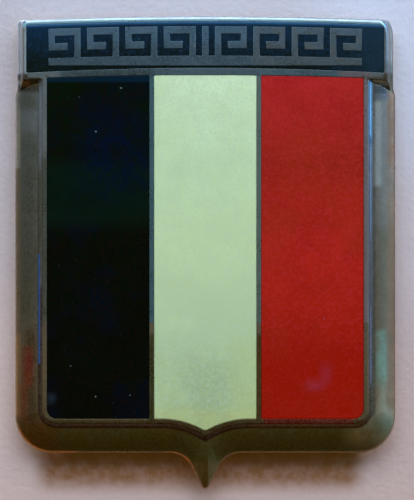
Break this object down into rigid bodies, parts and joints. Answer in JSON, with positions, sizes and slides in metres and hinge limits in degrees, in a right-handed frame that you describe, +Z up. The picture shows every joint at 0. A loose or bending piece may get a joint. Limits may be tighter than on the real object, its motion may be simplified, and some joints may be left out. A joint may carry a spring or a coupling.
{
  "type": "car emblem",
  "caption": "Enamelled shield-shaped car emblem with three upright stripes, a dark header band, rear studs, clamp bar, washers and thumb nuts.",
  "frame": {"origin": "midway between the two stud axes, in the plane of the shield's flat back rim", "axes": "+Y along the studs, out of the back (the enamelled face looks along -Y); +Z up the shield, from its point to the header band; +X to the right of someone who looks at the face"},
  "size_m": [0.0644, 0.0262, 0.0799],
  "materials": {
    "struck_metal": "tarnished nickel plate over struck brass, semi-gloss, worn to brass on the edges",
    "header_enamel": "glossy blue-black vitreous enamel",
    "black_enamel": "glossy black vitreous enamel",
    "yellow_enamel": "pale greenish yellow opaque vitreous enamel",
    "red_enamel": "red opaque vitreous enamel",
    "stud_brass": "turned brass, dull",
    "solder": "grey soft solder, lumpy satin",
    "clamp_steel": "zinc-plated steel strip, dull with a few rust spots",
    "rubber": "matt black rubber",
    "washer_steel": "plated steel, satin",
    "spring_steel": "dark spring steel, satin",
    "nut_brass": "knurled brass, dull"
  },
  "bodies": {
    "root": {"shield_shell": "struck_metal", "header_enamel": "header_enamel", "black_enamel": "black_enamel", "yellow_enamel": "yellow_enamel", "red_enamel": "red_enamel", "left_stud": "stud_brass", "right_stud": "stud_brass", "left_solder": "solder", "right_solder": "solder"},
    "clamp": {"clamp_bar": "clamp_steel", "left_rubber_washer": "rubber", "right_rubber_washer": "rubber", "left_plain_washer": "washer_steel", "right_plain_washer": "washer_steel", "left_spring_washer": "spring_steel", "right_spring_washer": "spring_steel"},
    "left_nut": {"left_thumb_nut": "nut_brass"},
    "right_nut": {"right_thumb_nut": "nut_brass"}
  },
  "joints": [
    {"name": "clamp_slide", "type": "slide", "parent": "root", "child": "clamp", "axis": [0, 1, 0], "range_m": [-0.0056, 0.0049]},
    {"name": "left_nut_turn", "type": "hinge", "parent": "clamp", "child": "left_nut", "pos_m": [-0.015, 0.0144, 0], "axis": [0, 1, 0], "range_deg": [-2882, 2522]},
    {"name": "right_nut_turn", "type": "hinge", "parent": "clamp", "child": "right_nut", "pos_m": [0.015, 0.0144, 0], "axis": [0, 1, 0], "range_deg": [-2882, 2522]}
  ],
  "couplings": [
    {"joint": "left_nut_turn", "follows": "clamp_slide", "rad_per_m": 8976},
    {"joint": "right_nut_turn", "follows": "clamp_slide", "rad_per_m": 8976}
  ]
}
